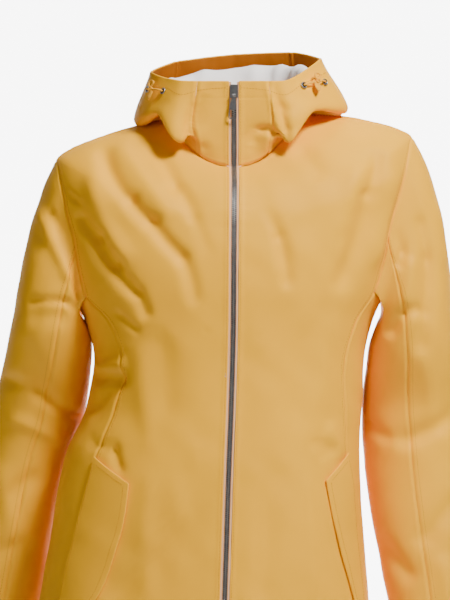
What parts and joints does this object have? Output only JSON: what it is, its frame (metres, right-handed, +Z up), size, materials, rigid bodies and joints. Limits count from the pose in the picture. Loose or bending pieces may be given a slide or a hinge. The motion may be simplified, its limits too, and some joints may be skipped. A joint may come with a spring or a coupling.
{
  "type": "hooded parka",
  "caption": "Mustard-yellow hooded parka in plain woven shell cloth, zipped up, worn shape, hood down, slanted pocket flaps, metal zip.",
  "frame": {"origin": "middle of the neck opening's base, where the wearer's shoulders hold the garment", "axes": "+Z up, the garment's front faces -Y, and its own left side is towards +X"},
  "size_m": [0.63, 0.3324, 0.7518],
  "materials": {
    "shell_cloth": "matt, tight plain weave with a slight sheen",
    "lining_cloth": "soft matt",
    "zip_tape": "matt woven tape",
    "gunmetal": "dark satin plated metal"
  },
  "bodies": {
    "garment": {"front_left": "shell_cloth", "front_right": "shell_cloth", "side_left": "shell_cloth", "side_right": "shell_cloth", "back": "shell_cloth", "sleeve_upper_left": "shell_cloth", "sleeve_under_left": "shell_cloth", "sleeve_upper_right": "shell_cloth", "sleeve_under_right": "shell_cloth", "collar_front_left": "shell_cloth", "collar_front_right": "shell_cloth", "hood_side_left": "shell_cloth", "hood_side_right": "shell_cloth", "hood_centre": "shell_cloth", "pocket_flap_left": "shell_cloth", "pocket_flap_right": "shell_cloth", "drawcord_left": "shell_cloth", "drawcord_right": "shell_cloth", "hood_lining": "lining_cloth", "zip_tape_left": "zip_tape", "zip_tape_right": "zip_tape", "zip_chain": "gunmetal", "zip_slider": "gunmetal", "zip_box": "gunmetal", "eyelet_right_front": "gunmetal", "eyelet_right_back": "gunmetal", "eyelet_left_front": "gunmetal", "eyelet_left_back": "gunmetal"},
    "zip_pull": {"zip_pull": "gunmetal"}
  },
  "joints": [
    {"name": "zip_pull_hinge", "type": "hinge", "parent": "garment", "child": "zip_pull", "pos_m": [0.001, -0.0951, 0.0307], "axis": [-1, 0, 0], "range_deg": [0, 150]}
  ]
}
